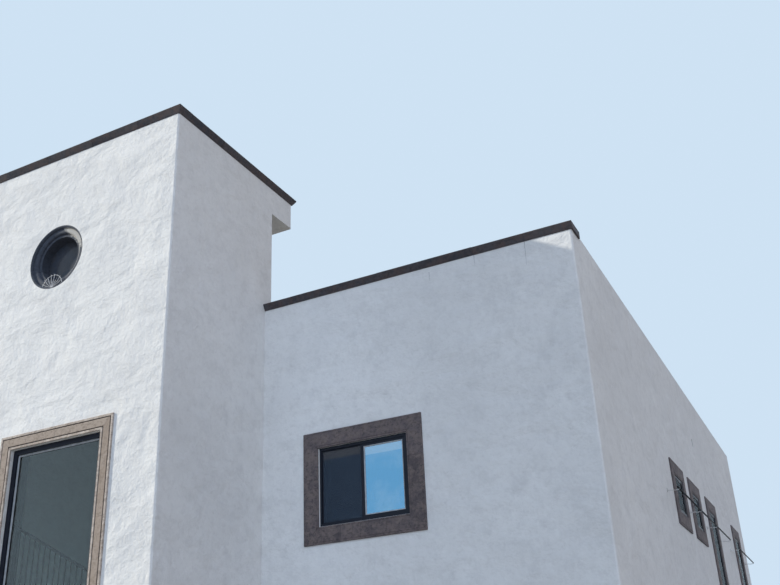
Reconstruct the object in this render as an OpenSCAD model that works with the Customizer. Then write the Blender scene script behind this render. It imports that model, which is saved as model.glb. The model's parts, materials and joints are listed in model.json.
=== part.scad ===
// Flat-roofed adobe house with a stair tower, white lime plaster and quarried stone trim.
// Millimetres, Z up. The front looks along -Y, X runs to the right along the front.
// The origin is the middle of the plan, on the ground.

/* [House block] */
// Width of the whole house, along X
house_w = 10020; // [9600:10:11000]
// Depth of the block behind its front face, along Y
block_d = 14965; // [14800:5:16500]
// Thickness of every adobe wall
wall_t = 360; // [320:5:400]
// Top of the front wall, under its stone coping
front_wall_top = 7820; // [7600:10:8200]
// Top of the side and back parapets
parapet_top = 7900; // [7600:10:8200]
// Radius worn on the top edges of the parapets
parapet_round = 25; // [10:5:60]
// Radius worn on the outer corners of the walls
corner_round = 30; // [10:5:60]

/* [Floors] */
// Ground floor above the ground, which is the slab's thickness
ground_floor_z = 150; // [100:10:200]
// Upper floor above the ground
upper_floor_z = 3250; // [3180:10:3300]
// Roof terrace above the ground
roof_z = 6600; // [6300:10:6700]
// Thickness of the upper floor and of the terrace
floor_t = 200; // [150:10:250]
// How far both floors are built into the walls
bearing = 100; // [60:10:150]

/* [Tower] */
// Width of the tower, from the left side of the house
tower_w = 4700; // [4500:10:5000]
// How far the tower stands out in front of the block
tower_out = 2435; // [2200:5:2800]
// How far the tower reaches back behind the block's front face
tower_back = 170; // [120:10:240]
// Underside of the tower roof
tower_eaves = 9810; // [9600:10:10200]
// Thickness of the roof deck
roof_deck_t = 180; // [150:10:220]
// Height of the curb round the deck
curb_h = 320; // [200:10:400]
// Thickness of the curb
curb_t = 260; // [200:10:320]
// Overhang of the roof behind the tower, over the terrace
rear_overhang = 630; // [400:10:900]

/* [Copings] */
// Thickness of the tower's coping stones
tower_coping_t = 115; // [80:5:150]
// How far the tower coping stands out
tower_coping_out = 70; // [60:5:120]
// Thickness of the block's coping stones
block_coping_t = 115; // [80:5:150]
// How far the block coping stands out in front
block_coping_out = 70; // [60:5:120]
// How far its right end runs past the corner
block_coping_end = 30; // [10:5:80]
// Height of the upright lip along the top of each coping
coping_lip = 20; // [10:5:30]
// How far a coping's face slopes in below that lip
coping_slope = 55; // [40:5:60]

/* [Oculus] */
// Middle of the oculus from the left side of the house
oculus_x = 2350; // [2100:10:2600]
// Height of its middle above the ground
oculus_z = 8410; // [8200:10:8600]
// Radius of its outer rim
oculus_r = 555; // [500:5:600]
// Radius of each rounded moulding
mould_r = 40; // [30:5:50]
// Flat ledge inside each moulding
mould_ledge = 45; // [30:5:60]
// Depth of the stone ring in the wall
oculus_depth = 290; // [270:5:310]
// Middle of the round pane behind the wall's face
oculus_pane_in = 250; // [200:5:260]
// Thickness of the round pane
oculus_glass_t = 10; // [6:1:16]

/* [Tall window] */
// Middle of the tall window from the left side of the house
tall_x = 2775; // [2700:5:2850]
// Width of its opening
tall_w = 1750; // [1500:10:1850]
// Bottom of its opening above the ground
tall_sill_z = 915; // [700:5:1200]
// Head of its opening above the ground
tall_head_z = 5295; // [5100:5:5400]
// Width of its stone surround, seen from the front
tall_band = 215; // [180:5:240]
// How far that surround stands out of the wall
tall_out = 25; // [20:1:40]
// Width of the two grooves in its face
groove_w = 14; // [8:1:20]
// Depth of those grooves
groove_d = 10; // [6:1:15]
// Outer groove from the surround's outer edge
groove_outer = 36; // [30:1:50]
// Inner groove from the surround's outer edge
groove_inner = 165; // [150:5:175]
// How far its metal frame sits behind the wall's face
tall_frame_in = 53; // [40:1:70]
// Width of that frame, seen from outside
tall_frame_w = 75; // [60:5:90]
// Height of the crossbar's middle above the ground
tall_bar_z = 2750; // [2400:10:2900]

/* [Railing behind the tall window] */
// Slope of the railing in degrees, down to the right
rail_slope = 28; // [24:1:32]
// Top of the railing at the left jamb, above the ground
rail_left_z = 4250; // [4150:10:4350]
// Height between top and bottom rail
rail_h = 850; // [700:10:950]
// Height of each rail's bar
rail_bar = 40; // [30:5:50]
// Thickness of each rail's bar
rail_t = 24; // [16:2:30]
// Radius of each baluster
baluster_r = 8; // [6:1:10]
// Distance between two balusters
baluster_gap = 105; // [90:5:130]
// Gap between the window's frame and the railing
rail_gap = 20; // [10:5:60]

/* [Front window and entrance] */
// Middle of window and entrance from the tower's side
front_x = 1765; // [1500:5:2000]
// Width of the sliding window's opening
slider_w = 1500; // [1300:10:1700]
// Height of its opening
slider_h = 1200; // [1000:10:1300]
// Sill of its opening above the storey's floor
slider_sill = 805; // [700:5:1000]
// Width of the stone surrounds round windows and doors
stone_band = 255; // [220:5:280]
// How far those surrounds stand out of the wall
stone_out = 28; // [20:1:40]
// Width of the entrance
door_w = 1200; // [1000:10:1400]
// Height of the entrance above the ground floor
door_h = 2150; // [2050:10:2300]

/* [Right side] */
// Middle of the first small window behind the block's front
small_y1 = 5705; // [5650:5:5750]
// Wall between the surrounds of the two small windows
small_gap = 495; // [400:5:600]
// Width of the small windows' openings
small_w = 740; // [650:10:760]
// Height of the small windows' openings
small_h = 680; // [600:10:750]
// Wall between the surrounds of the last small and the first tall window
first_pier = 765; // [650:5:850]
// Wall between the surrounds of the two tall windows
second_pier = 2500; // [2400:5:2600]
// Width of the tall side windows' openings
long_w = 790; // [700:10:850]
// Head of all side openings above the storey's floor
side_head = 2075; // [1950:5:2150]
// How far the side windows' frames stand out of the wall
side_frame_out = 10; // [0:1:15]
// Middle of their panes behind the frame's front
side_pane_in = 12; // [8:1:20]

/* [Scupper] */
// Middle of the roof scupper behind the block's front
scupper_y = 8530; // [8300:10:8700]
// Width of the scupper
scupper_w = 110; // [80:10:160]
// Height of the scupper
scupper_h = 180; // [120:10:220]

/* [Rods on the right side] */
// Radius of both rods
rod_r = 14; // [10:1:18]
// Rods from the wall's face to their middle
rod_off = 195; // [150:5:250]
// Height of the rods above the ground
rod_z = 4860; // [4800:5:4920]
// Near rod in front of the first small window's middle
near_rod_before = 1375; // [1200:5:1500]
// Near rod behind the first tall window's middle
near_rod_after = 910; // [800:5:1000]
// Far rod in front of the second tall window's middle
far_rod_before = 1590; // [1400:5:1600]
// Far rod behind the second tall window's middle
far_rod_after = 1170; // [900:5:1250]
// Radius of the bracket arms
arm_r = 10; // [8:1:12]
// Radius of the bracket's wall disc
foot_r = 40; // [30:5:50]
// Thickness of the wall disc
foot_t = 8; // [6:1:12]

/* [Back and left side] */
// Back windows to each side of the middle
back_window_x = 2500; // [2200:10:2800]
// First column of left windows behind the block's front
left_y1 = 4200; // [3900:10:4500]
// Second column of left windows
left_y2 = 10200; // [9900:10:10500]

/* [Metal frames and glass] */
// Width of the black metal frames, seen from outside
frame_w = 45; // [35:5:55]
// Depth of the black metal frames
frame_d = 90; // [80:5:110]
// How far the frames sit behind the wall's face
frame_in = 15; // [5:5:30]
// Width of a sliding sash's rails and of the tall window's crossbar
sash_w = 40; // [30:5:50]
// Depth of a sliding sash
sash_d = 34; // [28:2:38]
// How far two sashes pass behind each other
sash_lap = 40; // [20:5:50]
// Thickness of the glass
glass_t = 8; // [6:1:12]

/* [Roof door] */
// Width of the door from the tower to the terrace
roof_door_w = 900; // [800:10:1000]
// Height of that door
roof_door_h = 2100; // [2000:10:2200]
// Thickness of both door leaves
leaf_t = 45; // [38:1:55]

/* [Hidden] */
$fn = 64;
cut = 1;
x_right = house_w / 2;
x_left = -house_w / 2;
x_tower = x_left + tower_w;
y_back = (block_d + tower_out) / 2;
y_front = y_back - block_d;
y_tower = y_front - tower_out;
y_tower_back = y_front + tower_back;
x_in_right = x_right - wall_t;
x_in_left = x_left + wall_t;
y_in_back = y_back - wall_t;
y_in_front = y_front + wall_t;
x_in_tower = x_tower - wall_t;
y_in_tower = y_tower + wall_t;
storey_h = upper_floor_z - ground_floor_z;
storeys = [ground_floor_z, upper_floor_z];
tower_top = tower_eaves + roof_deck_t + curb_h;
y_eaves = y_tower_back + rear_overhang;
tall_h = tall_head_z - tall_sill_z;
small_sill = side_head - small_h;
front_mid = x_tower + front_x;
small_y2 = small_y1 + small_w + 2 * stone_band + small_gap;
long_y1 = small_y2 + (small_w + long_w) / 2 + 2 * stone_band + first_pier;
long_y2 = long_y1 + long_w + 2 * stone_band + second_pier;
// The lowest stone of the ground floor's tall windows stands on the ground
long_sill = stone_band - ground_floor_z;
long_h = side_head - long_sill;
rail_y = y_tower + tall_frame_in + frame_d + rail_gap + rail_t / 2;
mould_step = mould_r + mould_ledge;
mould_rows = 2;
oculus_inner_r = oculus_r - mould_rows * mould_step;
plaster = [0.93, 0.93, 0.95];
stone = [0.34, 0.31, 0.30];
tan_stone = [0.74, 0.66, 0.58];
black_metal = [0.06, 0.06, 0.07];
glass_blue = [0.35, 0.47, 0.55, 0.6];
concrete = [0.62, 0.60, 0.58];
door_wood = [0.26, 0.17, 0.11];

// Places on a wall: children are drawn as seen from outside, right and up, and grow outwards

module on_front(x, y, z) {
    translate([x, y, z]) rotate([90, 0, 0]) children();
}

module on_right(x, y, z) {
    translate([x, y, z]) rotate([90, 0, 90]) children();
}

module on_back(x, y, z) {
    translate([x, y, z]) rotate([90, 0, 180]) children();
}

module on_left(x, y, z) {
    translate([x, y, z]) rotate([90, 0, 270]) children();
}

// Shared shapes

// Flat panel of width w and height h, from depth z0 to z1 behind or in front of the wall
module panel(w, h, z0, z1) {
    translate([-w / 2, 0, z0]) cube([w, h, z1 - z0]);
}

// Closed frame whose inner opening is w by h
module ring(w, h, band, z0, z1) {
    translate([0, 0, z0]) linear_extrude(z1 - z0) difference() {
        translate([-w / 2 - band, -band]) square([w + 2 * band, h + 2 * band]);
        translate([-w / 2, 0]) square([w, h]);
    }
}

// Metal frame that fills an opening of w by h
module fitted_frame(w, h, z0, z1, band = frame_w) {
    translate([0, band, 0]) ring(w - 2 * band, h - 2 * band, band, z0, z1);
}

// Pane that fits in such a frame
module fitted_pane(w, h, z_mid) {
    translate([0, frame_w, 0])
        panel(w - 2 * frame_w, h - 2 * frame_w, z_mid - glass_t / 2, z_mid + glass_t / 2);
}

// Cross-section of a wall, worn round along its top
module wall_section(top) {
    h = top - ground_floor_z;
    square([wall_t, h - parapet_round]);
    translate([parapet_round, 0]) square([wall_t - 2 * parapet_round, h]);
    for (x = [parapet_round, wall_t - parapet_round])
        translate([x, h - parapet_round]) circle(parapet_round);
}

// Wall along Y with its outer face at x = 0, on the ground slab
module side_wall(len, top) {
    translate([0, 0, ground_floor_z]) rotate([90, 0, 180]) linear_extrude(len) wall_section(top);
}

// What the weather wears off a vertical corner; right and back are 1 or -1 for its direction
module worn_corner(x, y, right, back) {
    r = corner_round;
    translate([x, y, -cut]) linear_extrude(tower_top + 2 * cut) difference() {
        translate([right > 0 ? -r : -cut, back > 0 ? -r : -cut]) square(r + cut);
        translate([-right * r, -back * r]) circle(r);
    }
}

// Cross-section of coping stones that overhang a wall of width w on both sides
module coping_section(w, out, t) {
    top = w / 2 + out;
    low = top - coping_slope;
    polygon([[-low, 0], [low, 0], [top, t - coping_lip], [top, t], [-top, t], [-top, t - coping_lip]]);
}

// Floors and roof

module ground_slab() {
    color(concrete) difference() {
        union() {
            translate([x_left, y_front, 0]) cube([house_w, block_d, ground_floor_z]);
            translate([x_left, y_tower, 0]) cube([tower_w, tower_out, ground_floor_z]);
        }
        worn_corner(x_right, y_front, 1, -1);
        worn_corner(x_right, y_back, 1, 1);
        worn_corner(x_left, y_back, -1, 1);
        worn_corner(x_left, y_tower, -1, -1);
        worn_corner(x_tower, y_tower, 1, -1);
    }
}

module upper_floor_shape() {
    translate([0, 0, upper_floor_z - floor_t]) linear_extrude(floor_t) polygon([
        [x_in_left - bearing, y_tower_back],
        [x_tower, y_tower_back],
        [x_tower, y_in_front - bearing],
        [x_in_right + bearing, y_in_front - bearing],
        [x_in_right + bearing, y_in_back + bearing],
        [x_in_left - bearing, y_in_back + bearing]]);
}

module terrace_shape() {
    translate([0, 0, roof_z - floor_t]) linear_extrude(floor_t) polygon([
        [x_in_left - bearing, y_in_tower - bearing],
        [x_in_tower + bearing, y_in_tower - bearing],
        [x_in_tower + bearing, y_tower_back],
        [x_tower, y_tower_back],
        [x_tower, y_in_front - bearing],
        [x_in_right + bearing, y_in_front - bearing],
        [x_in_right + bearing, y_in_back + bearing],
        [x_in_left - bearing, y_in_back + bearing]]);
}

module upper_floor_slab() {
    color(concrete) upper_floor_shape();
}

module terrace_slab() {
    color(concrete) terrace_shape();
}

// Roof deck with a curb all round, reaching over the terrace behind the tower
module tower_roof() {
    depth = y_eaves - y_tower;
    color(plaster) translate([x_left, y_tower, tower_eaves]) difference() {
        cube([tower_w, depth, roof_deck_t + curb_h]);
        translate([curb_t, curb_t, roof_deck_t])
            cube([tower_w - 2 * curb_t, depth - 2 * curb_t, curb_h + cut]);
        translate([-x_left, -y_tower, 0]) for (x = [x_left, x_tower], y = [y_tower, y_eaves])
            worn_corner(x, y, x == x_left ? -1 : 1, y == y_tower ? -1 : 1);
    }
}

// Walls

module block_front_wall() {
    color(plaster) difference() {
        translate([x_tower, y_front, ground_floor_z])
            cube([x_right - x_tower, wall_t, front_wall_top - ground_floor_z]);
        on_front(front_mid, y_front, upper_floor_z + slider_sill)
            panel(slider_w, slider_h, -wall_t - cut, cut);
        on_front(front_mid, y_front, ground_floor_z - cut)
            panel(door_w, door_h + cut, -wall_t - cut, cut);
        worn_corner(x_right, y_front, 1, -1);
        upper_floor_shape();
        terrace_shape();
    }
}

module side_openings(storey_z) {
    for (y = [small_y1, small_y2])
        on_right(x_right, y_front + y, storey_z + small_sill)
            panel(small_w, small_h, -wall_t - cut, cut);
    for (y = [long_y1, long_y2])
        on_right(x_right, y_front + y, storey_z + long_sill)
            panel(long_w, long_h, -wall_t - cut, cut);
}

module block_right_wall() {
    color(plaster) difference() {
        translate([x_right, y_in_front, 0]) side_wall(block_d - wall_t, parapet_top);
        for (z = storeys) side_openings(z);
        on_right(x_right, y_front + scupper_y, roof_z)
            panel(scupper_w, scupper_h, -wall_t - cut, cut);
        worn_corner(x_right, y_back, 1, 1);
        upper_floor_shape();
        terrace_shape();
    }
}

module block_left_wall() {
    color(plaster) difference() {
        translate([x_in_left, y_tower_back, 0]) side_wall(y_back - y_tower_back, parapet_top);
        for (z = storeys) for (y = [left_y1, left_y2])
            on_left(x_left, y_front + y, z + small_sill) panel(small_w, small_h, -wall_t - cut, cut);
        worn_corner(x_left, y_back, -1, 1);
        upper_floor_shape();
        terrace_shape();
    }
}

module block_back_wall() {
    color(plaster) difference() {
        translate([x_in_right, y_back, 0]) rotate([0, 0, 90])
            side_wall(house_w - 2 * wall_t, parapet_top);
        for (z = storeys) for (x = [-back_window_x, back_window_x])
            on_back(x, y_back, z + slider_sill) panel(slider_w, slider_h, -wall_t - cut, cut);
        upper_floor_shape();
        terrace_shape();
    }
}

module tower_front_wall() {
    color(plaster) difference() {
        translate([x_left, y_tower, ground_floor_z])
            cube([tower_w, wall_t, tower_eaves - ground_floor_z]);
        on_front(x_left + tall_x, y_tower, tall_sill_z) panel(tall_w, tall_h, -wall_t - cut, cut);
        on_front(x_left + oculus_x, y_tower, oculus_z)
            translate([0, 0, -wall_t - cut]) cylinder(r = oculus_r, h = wall_t + 2 * cut, $fn = 96);
        worn_corner(x_left, y_tower, -1, -1);
        worn_corner(x_tower, y_tower, 1, -1);
        terrace_shape();
    }
}

module tower_side(x) {
    translate([x, y_in_tower, ground_floor_z])
        cube([wall_t, y_tower_back - y_in_tower, tower_eaves - ground_floor_z]);
}

module tower_right_wall() {
    color(plaster) difference() {
        tower_side(x_in_tower);
        terrace_shape();
    }
}

module tower_left_wall() {
    color(plaster) difference() {
        tower_side(x_left);
        terrace_shape();
    }
}

// Stands on the terrace slab and leaves the stair hall below open to the rooms
module tower_back_wall() {
    color(plaster) difference() {
        translate([x_in_left, y_tower_back - wall_t, roof_z])
            cube([x_in_tower - x_in_left, wall_t, tower_eaves - roof_z]);
        on_back((x_in_left + x_in_tower) / 2, y_tower_back, roof_z - cut)
            panel(roof_door_w, roof_door_h + cut, -wall_t - cut, cut);
    }
}

// Copings

module block_front_coping() {
    len = x_right + block_coping_end - x_tower;
    color(stone) translate([x_tower, y_front, front_wall_top]) intersection() {
        translate([0, wall_t / 2, 0]) rotate([90, 0, 90]) linear_extrude(len)
            coping_section(wall_t, block_coping_out, block_coping_t);
        translate([-cut, -block_coping_out - cut, -cut])
            cube([len + 2 * cut, wall_t + block_coping_out + cut, block_coping_t + 2 * cut]);
    }
}

// Copings all round the tower's curb, mitred at the corners
module tower_copings() {
    depth = y_eaves - y_tower;
    out = tower_coping_out;
    translate([x_left + tower_w / 2, y_tower + depth / 2, tower_top]) difference() {
        intersection() {
            translate([-tower_w / 2 - out, 0, 0]) rotate([90, 0, 90])
                linear_extrude(tower_w + 2 * out) coping_section(depth, out, tower_coping_t);
            translate([0, depth / 2 + out, 0]) rotate([90, 0, 0])
                linear_extrude(depth + 2 * out) coping_section(tower_w, out, tower_coping_t);
        }
        translate([curb_t - tower_w / 2, curb_t - depth / 2, -cut])
            cube([tower_w - 2 * curb_t, depth - 2 * curb_t, tower_coping_t + 2 * cut]);
    }
}

// The stretch of those copings from y0 to y1
module tower_coping_stretch(y0, y1) {
    color(stone) intersection() {
        tower_copings();
        translate([x_left - tower_coping_out - cut, y0, tower_top - cut])
            cube([tower_w + 2 * (tower_coping_out + cut), y1 - y0, tower_coping_t + 2 * cut]);
    }
}

module tower_front_coping() {
    tower_coping_stretch(y_tower - tower_coping_out - cut, y_tower + curb_t);
}

module tower_side_copings() {
    tower_coping_stretch(y_tower + curb_t, y_eaves - curb_t);
}

module tower_back_coping() {
    tower_coping_stretch(y_eaves - curb_t, y_eaves + tower_coping_out + cut);
}

// Oculus

// Quarter-round mouldings that step inwards and back from the wall's face
mould_profile = [for (i = [0 : mould_rows - 1]) for (a = [90 : 15 : 180]) [
    oculus_r - i * mould_step + mould_r * cos(a),
    -(i + 1) * mould_r + mould_r * sin(a)]];

module oculus_ring() {
    color(stone) on_front(x_left + oculus_x, y_tower, oculus_z) rotate_extrude($fn = 96)
        polygon(concat(mould_profile, [
            [oculus_inner_r, -mould_rows * mould_r],
            [oculus_inner_r, -oculus_depth],
            [oculus_r, -oculus_depth]]));
}

module oculus_glass() {
    color(glass_blue) on_front(x_left + oculus_x, y_tower, oculus_z)
        translate([0, 0, -oculus_pane_in - oculus_glass_t / 2])
            cylinder(r = oculus_inner_r, h = oculus_glass_t, $fn = 96);
}

// Tall window

module tall_place() {
    on_front(x_left + tall_x, y_tower, tall_sill_z) children();
}

// Ring-shaped groove whose outer edge lies in by that much from the surround's edge
module face_groove(in) {
    band = tall_band - in;
    ring(tall_w + 2 * (band - groove_w), tall_h + 2 * (band - groove_w), groove_w,
        tall_out - groove_d, tall_out + cut);
}

module tall_window_surround() {
    color(tan_stone) tall_place() difference() {
        ring(tall_w, tall_h, tall_band, 0, tall_out);
        for (in = [groove_outer, groove_inner])
            translate([0, groove_w - (tall_band - in), 0]) face_groove(in);
    }
}

module tall_window_frame() {
    back = -tall_frame_in - frame_d;
    color(black_metal) tall_place() {
        fitted_frame(tall_w, tall_h, back, -tall_frame_in, tall_frame_w);
        translate([0, tall_bar_z - tall_sill_z - sash_w / 2, 0])
            panel(tall_w - 2 * tall_frame_w, sash_w, back, -tall_frame_in);
    }
}

module tall_window_glass() {
    mid = -tall_frame_in - frame_d / 2;
    bar_low = tall_bar_z - tall_sill_z - sash_w / 2;
    color(glass_blue) tall_place() {
        translate([0, tall_frame_w, 0]) panel(tall_w - 2 * tall_frame_w, bar_low - tall_frame_w,
            mid - glass_t / 2, mid + glass_t / 2);
        translate([0, bar_low + sash_w, 0])
            panel(tall_w - 2 * tall_frame_w, tall_h - tall_frame_w - bar_low - sash_w,
                mid - glass_t / 2, mid + glass_t / 2);
    }
}

// Sloping bar from jamb to jamb whose top starts at height v on the left
module sloping_bar(v) {
    drop = tall_w * tan(rail_slope);
    translate([-tall_w / 2, 0, -rail_t / 2]) linear_extrude(rail_t)
        polygon([[0, v - rail_bar], [0, v], [tall_w, v - drop], [tall_w, v - drop - rail_bar]]);
}

module stair_railing() {
    bars = floor(tall_w / baluster_gap);
    margin = (tall_w - (bars - 1) * baluster_gap) / 2;
    color(black_metal) on_front(x_left + tall_x, rail_y, rail_left_z) {
        sloping_bar(0);
        sloping_bar(-rail_h);
        for (i = [0 : bars - 1]) {
            u = margin + i * baluster_gap;
            translate([u - tall_w / 2, -u * tan(rail_slope) - rail_h - rail_bar / 2, 0])
                rotate([-90, 0, 0]) cylinder(r = baluster_r, h = rail_h, $fn = 16);
        }
    }
}

// Windows and doors with flat stone surrounds

module slider_surround() {
    ring(slider_w, slider_h, stone_band, 0, stone_out);
}

module slider_frame() {
    fitted_frame(slider_w, slider_h, -frame_in - frame_d, -frame_in);
}

// The left sash runs in the inner track, the right one in the outer track
module sash_places() {
    inner_w = slider_w - 2 * frame_w;
    sash_full = (inner_w + sash_lap) / 2;
    mid = -frame_in - frame_d / 2;
    translate([-(inner_w - sash_full) / 2, frame_w, mid - sash_d]) children();
    translate([(inner_w - sash_full) / 2, frame_w, mid]) children();
}

module slider_sashes() {
    inner_w = slider_w - 2 * frame_w;
    sash_full = (inner_w + sash_lap) / 2;
    sash_places() translate([0, sash_w, 0])
        ring(sash_full - 2 * sash_w, slider_h - 2 * frame_w - 2 * sash_w, sash_w, 0, sash_d - 0.5);
}

module slider_glass() {
    inner_w = slider_w - 2 * frame_w;
    sash_full = (inner_w + sash_lap) / 2;
    sash_places() translate([0, sash_w, 0])
        panel(sash_full - 2 * sash_w, slider_h - 2 * frame_w - 2 * sash_w,
            (sash_d - glass_t) / 2, (sash_d + glass_t) / 2);
}

module front_window_place() {
    on_front(front_mid, y_front, upper_floor_z + slider_sill) children();
}

module front_window_surround() {
    color(stone) front_window_place() slider_surround();
}

module front_window_frame() {
    color(black_metal) front_window_place() slider_frame();
}

module front_window_sashes() {
    color(black_metal) front_window_place() slider_sashes();
}

module front_window_glass() {
    color(glass_blue) front_window_place() slider_glass();
}

// Frame without a threshold for a door opening of w by h
module door_frame(w, h) {
    translate([0, 0, -frame_in - frame_d]) linear_extrude(frame_d) difference() {
        translate([-w / 2, 0]) square([w, h]);
        translate([-w / 2 + frame_w, -cut]) square([w - 2 * frame_w, h - frame_w + cut]);
    }
}

module door_leaf(w, h) {
    mid = -frame_in - frame_d / 2;
    panel(w - 2 * frame_w, h - frame_w, mid - leaf_t / 2, mid + leaf_t / 2);
}

module entrance_place() {
    on_front(front_mid, y_front, ground_floor_z) children();
}

module entrance_surround() {
    color(stone) entrance_place() linear_extrude(stone_out) difference() {
        translate([-door_w / 2 - stone_band, -ground_floor_z])
            square([door_w + 2 * stone_band, ground_floor_z + door_h + stone_band]);
        translate([-door_w / 2, -ground_floor_z - cut]) square([door_w, ground_floor_z + door_h + cut]);
    }
}

module entrance_frame() {
    color(black_metal) entrance_place() door_frame(door_w, door_h);
}

module entrance_door() {
    color(door_wood) entrance_place() door_leaf(door_w, door_h);
}

module roof_door_place() {
    on_back((x_in_left + x_in_tower) / 2, y_tower_back, roof_z) children();
}

module roof_door_frame() {
    color(black_metal) roof_door_place() door_frame(roof_door_w, roof_door_h);
}

module roof_door() {
    color(door_wood) roof_door_place() door_leaf(roof_door_w, roof_door_h);
}

// Side and back windows: one child per opening, on both storeys

module side_frame(w, h) {
    fitted_frame(w, h, side_frame_out - frame_d, side_frame_out);
}

module side_pane(w, h) {
    fitted_pane(w, h, side_frame_out - side_pane_in);
}

module at_right_windows() {
    for (z = storeys) for (y = [small_y1, small_y2])
        on_right(x_right, y_front + y, z + small_sill) children();
}

module at_long_windows() {
    for (z = storeys) for (y = [long_y1, long_y2])
        on_right(x_right, y_front + y, z + long_sill) children();
}

module at_left_windows() {
    for (z = storeys) for (y = [left_y1, left_y2])
        on_left(x_left, y_front + y, z + small_sill) children();
}

module at_back_windows() {
    for (z = storeys) for (x = [-back_window_x, back_window_x])
        on_back(x, y_back, z + slider_sill) children();
}

module right_window_surrounds() {
    color(stone) at_right_windows() ring(small_w, small_h, stone_band, 0, stone_out);
}

module right_window_frames() {
    color(black_metal) at_right_windows() side_frame(small_w, small_h);
}

module right_window_glass() {
    color(glass_blue) at_right_windows() side_pane(small_w, small_h);
}

module long_window_surrounds() {
    color(stone) at_long_windows() ring(long_w, long_h, stone_band, 0, stone_out);
}

module long_window_frames() {
    color(black_metal) at_long_windows() side_frame(long_w, long_h);
}

module long_window_glass() {
    color(glass_blue) at_long_windows() side_pane(long_w, long_h);
}

module left_window_surrounds() {
    color(stone) at_left_windows() ring(small_w, small_h, stone_band, 0, stone_out);
}

module left_window_frames() {
    color(black_metal) at_left_windows() side_frame(small_w, small_h);
}

module left_window_glass() {
    color(glass_blue) at_left_windows() side_pane(small_w, small_h);
}

module back_window_surrounds() {
    color(stone) at_back_windows() slider_surround();
}

module back_window_frames() {
    color(black_metal) at_back_windows() {
        slider_frame();
        slider_sashes();
    }
}

module back_window_glass() {
    color(glass_blue) at_back_windows() slider_glass();
}

// Rods on the right side

// Rod along Y from y0 to y1, carried by arms at the given places behind the block's front
module wall_rod(y0, y1, arms) {
    color(black_metal) {
        translate([x_right + rod_off, y_front + y0, rod_z]) rotate([-90, 0, 0])
            cylinder(r = rod_r, h = y1 - y0, $fn = 24);
        for (y = arms) translate([x_right, y_front + y, rod_z]) rotate([0, 90, 0]) {
            cylinder(r = arm_r, h = rod_off, $fn = 24);
            cylinder(r = foot_r, h = foot_t, $fn = 32);
        }
    }
}

// Arms stand in the wall strips beside the surrounds
module near_wall_rod() {
    start = small_y1 - near_rod_before;
    end = long_y1 + near_rod_after;
    between_small = (small_y1 + small_y2) / 2;
    before_long = (small_y2 + small_w / 2 + long_y1 - long_w / 2) / 2;
    wall_rod(start, end, [start + 2 * foot_r, between_small, before_long, end - foot_r - rod_r]);
}

module far_wall_rod() {
    start = long_y2 - far_rod_before;
    end = long_y2 + far_rod_after;
    wall_rod(start, end, [start + 2 * foot_r, end - 2 * foot_r]);
}

ground_slab();
upper_floor_slab();
terrace_slab();
tower_roof();
block_front_wall();
block_right_wall();
block_back_wall();
block_left_wall();
tower_front_wall();
tower_right_wall();
tower_left_wall();
tower_back_wall();
block_front_coping();
tower_front_coping();
tower_side_copings();
tower_back_coping();
oculus_ring();
oculus_glass();
tall_window_surround();
tall_window_frame();
tall_window_glass();
stair_railing();
front_window_surround();
front_window_frame();
front_window_sashes();
front_window_glass();
entrance_surround();
entrance_frame();
entrance_door();
right_window_surrounds();
right_window_frames();
right_window_glass();
long_window_surrounds();
long_window_frames();
long_window_glass();
near_wall_rod();
far_wall_rod();
back_window_surrounds();
back_window_frames();
back_window_glass();
left_window_surrounds();
left_window_frames();
left_window_glass();
roof_door_frame();
roof_door();
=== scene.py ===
# Looks of a flat-roofed adobe house with a stair tower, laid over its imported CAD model.
# Metres, Z up. The front looks along -Y and X runs to the right along the front.
# On a wall seen from outside u runs right, v runs up and w grows out of the wall.
import json
import math
import random

import bmesh
import bpy
from mathutils import Matrix, Vector


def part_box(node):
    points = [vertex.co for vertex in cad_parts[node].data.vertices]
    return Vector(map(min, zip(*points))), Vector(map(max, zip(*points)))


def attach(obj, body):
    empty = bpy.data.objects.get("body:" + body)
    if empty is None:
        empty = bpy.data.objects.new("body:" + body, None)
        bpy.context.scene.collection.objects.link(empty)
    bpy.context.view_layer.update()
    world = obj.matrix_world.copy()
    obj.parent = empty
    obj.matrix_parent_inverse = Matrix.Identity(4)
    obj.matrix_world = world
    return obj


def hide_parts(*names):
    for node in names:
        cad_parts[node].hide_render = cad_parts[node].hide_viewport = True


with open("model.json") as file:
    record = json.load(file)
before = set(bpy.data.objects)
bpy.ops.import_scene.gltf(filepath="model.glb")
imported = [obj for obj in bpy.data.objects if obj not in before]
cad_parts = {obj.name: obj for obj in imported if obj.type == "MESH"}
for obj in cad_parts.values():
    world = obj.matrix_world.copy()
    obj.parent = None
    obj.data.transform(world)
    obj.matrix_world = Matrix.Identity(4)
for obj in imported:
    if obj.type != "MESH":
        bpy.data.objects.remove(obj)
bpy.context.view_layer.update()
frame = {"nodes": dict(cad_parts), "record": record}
nodes = frame["nodes"]

# The main planes of the house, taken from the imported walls
X_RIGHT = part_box("block_right_wall")[1].x
X_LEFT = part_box("block_left_wall")[0].x
Y_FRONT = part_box("block_front_wall")[0].y
Y_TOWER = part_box("tower_front_wall")[0].y
Y_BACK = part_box("block_back_wall")[1].y
STOREYS = (0.15, 3.25)  # floor levels

# Window openings: width, height and sill above the floor
SLIDER = {"w": 1.5, "h": 1.2, "sill": 0.805}
SMALL = {"w": 0.74, "h": 0.68, "sill": 1.395}
LONG = {"w": 0.79, "h": 1.97, "sill": 0.105}
# Middles of the openings along their wall
FRONT_X = 1.455
RIGHT_SMALL_Y = (-0.56, 1.185)
RIGHT_LONG_Y = (3.225, 7.025)
LEFT_SMALL_Y = (-2.065, 3.935)
BACK_X = (-2.5, 2.5)
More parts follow.
